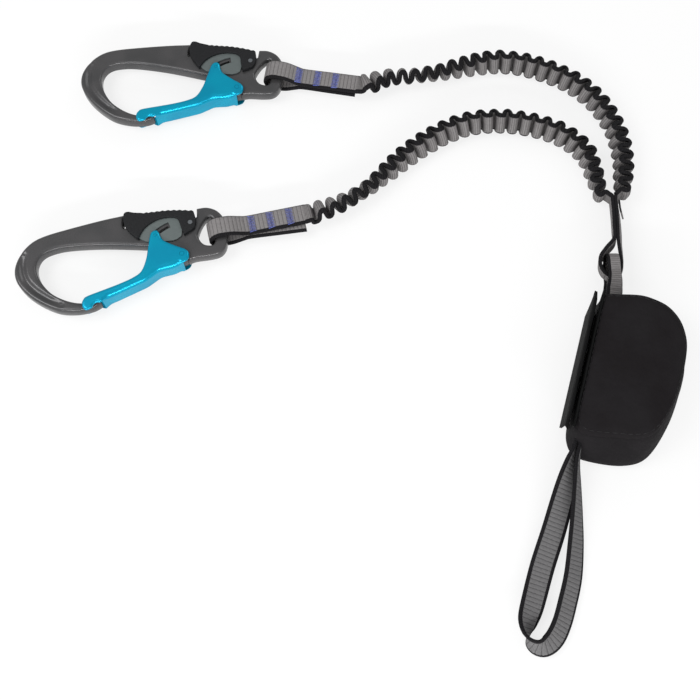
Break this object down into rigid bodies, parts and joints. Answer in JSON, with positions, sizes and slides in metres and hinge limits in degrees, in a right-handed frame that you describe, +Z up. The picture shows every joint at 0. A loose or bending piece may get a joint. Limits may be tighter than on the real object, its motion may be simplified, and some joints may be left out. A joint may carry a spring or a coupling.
{
  "type": "via ferrata lanyard",
  "caption": "Via ferrata lanyard: palm-lever carabiners on gathered elastic arms, sewn to a tear-webbing absorber in a pouch with a tie-in loop.",
  "frame": {"origin": "centre of the lanyard's footprint on the ground it lies on, elastic arms left out", "axes": "+Z up from the ground; +X from the carabiners towards the pouch; +Y from the tie-in loop towards the carabiners"},
  "size_m": [0.395, 0.381, 0.0305],
  "materials": {
    "body": "dark grey anodised",
    "gate": "blue anodised",
    "lever": "black moulded",
    "steel": "satin plate",
    "spring": "drawn wire",
    "webbing": "grey woven polyamide, black edges",
    "elastic": "grey gathered webbing, black edges",
    "pouch": "black coated cloth",
    "tape": "black hook and loop"
  },
  "bodies": {
    "arms": {"upper_elastic_arm": "elastic", "lower_elastic_arm": "elastic", "y_strap": "webbing", "upper_webbing_loop": "webbing", "lower_webbing_loop": "webbing"},
    "lower_carabiner": {"lower_carabiner_body": "body", "lower_gate_spring": "spring", "lower_lever_spring": "spring"},
    "lower_gate": {"lower_gate": "gate", "lower_gate_rivet": "steel", "lower_gate_pin": "steel"},
    "lower_lever": {"lower_palm_lever": "lever", "lower_cam_plate_front": "steel", "lower_cam_plate_back": "steel", "lower_lever_rivet": "steel"},
    "upper_carabiner": {"upper_carabiner_body": "body", "upper_gate_spring": "spring", "upper_lever_spring": "spring"},
    "upper_gate": {"upper_gate": "gate", "upper_gate_rivet": "steel", "upper_gate_pin": "steel"},
    "upper_lever": {"upper_palm_lever": "lever", "upper_cam_plate_front": "steel", "upper_cam_plate_back": "steel", "upper_lever_rivet": "steel"},
    "absorber": {"absorber_top_loop": "webbing", "tear_webbing_pack": "webbing", "tie_in_loop": "webbing", "pouch_tray": "pouch", "pouch_front": "pouch", "loop_tape": "tape"},
    "flap": {"pouch_flap": "pouch", "hook_tape": "tape"}
  },
  "joints": [
    {"name": "lower_swing", "type": "hinge", "parent": "arms", "child": "lower_carabiner", "pos_m": [-0.07511, 0.05801, 0.00772], "axis": [-0.2164, 0.9763, 0], "range_deg": [0, 75]},
    {"name": "lower_gate_hinge", "type": "hinge", "parent": "lower_carabiner", "child": "lower_gate", "pos_m": [-0.09661, 0.04053, 0.00772], "axis": [0, 0, -1], "range_deg": [0, 24], "stiffness_Nm_per_rad": 0.5, "springref_deg": -34.38},
    {"name": "lower_lever_squeeze", "type": "hinge", "parent": "lower_carabiner", "child": "lower_lever", "pos_m": [-0.09277, 0.06134, 0.00772], "axis": [0, 0, 1], "range_deg": [0, 6], "stiffness_Nm_per_rad": 0.2, "springref_deg": -28.65},
    {"name": "upper_swing", "type": "hinge", "parent": "arms", "child": "upper_carabiner", "pos_m": [-0.04342, 0.1689, 0.00772], "axis": [0.1469, 0.9891, 0], "range_deg": [0, 75]},
    {"name": "upper_gate_hinge", "type": "hinge", "parent": "upper_carabiner", "child": "upper_gate", "pos_m": [-0.06801, 0.15613, 0.00772], "axis": [0, 0, -1], "range_deg": [0, 24], "stiffness_Nm_per_rad": 0.5, "springref_deg": -34.38},
    {"name": "upper_lever_squeeze", "type": "hinge", "parent": "upper_carabiner", "child": "upper_lever", "pos_m": [-0.06005, 0.17573, 0.00772], "axis": [0, 0, 1], "range_deg": [0, 6], "stiffness_Nm_per_rad": 0.2, "springref_deg": -28.65},
    {"name": "absorber_hinge", "type": "hinge", "parent": "arms", "child": "absorber", "pos_m": [0.16047, 0.02583, 0.0104], "axis": [-1, 0, 0], "range_deg": [0, 60]},
    {"name": "flap_hinge", "type": "hinge", "parent": "absorber", "child": "flap", "pos_m": [0.13409, -0.02591, 0.0035], "axis": [-0.2756, -0.9613, 0], "range_deg": [0, 80]}
  ]
}
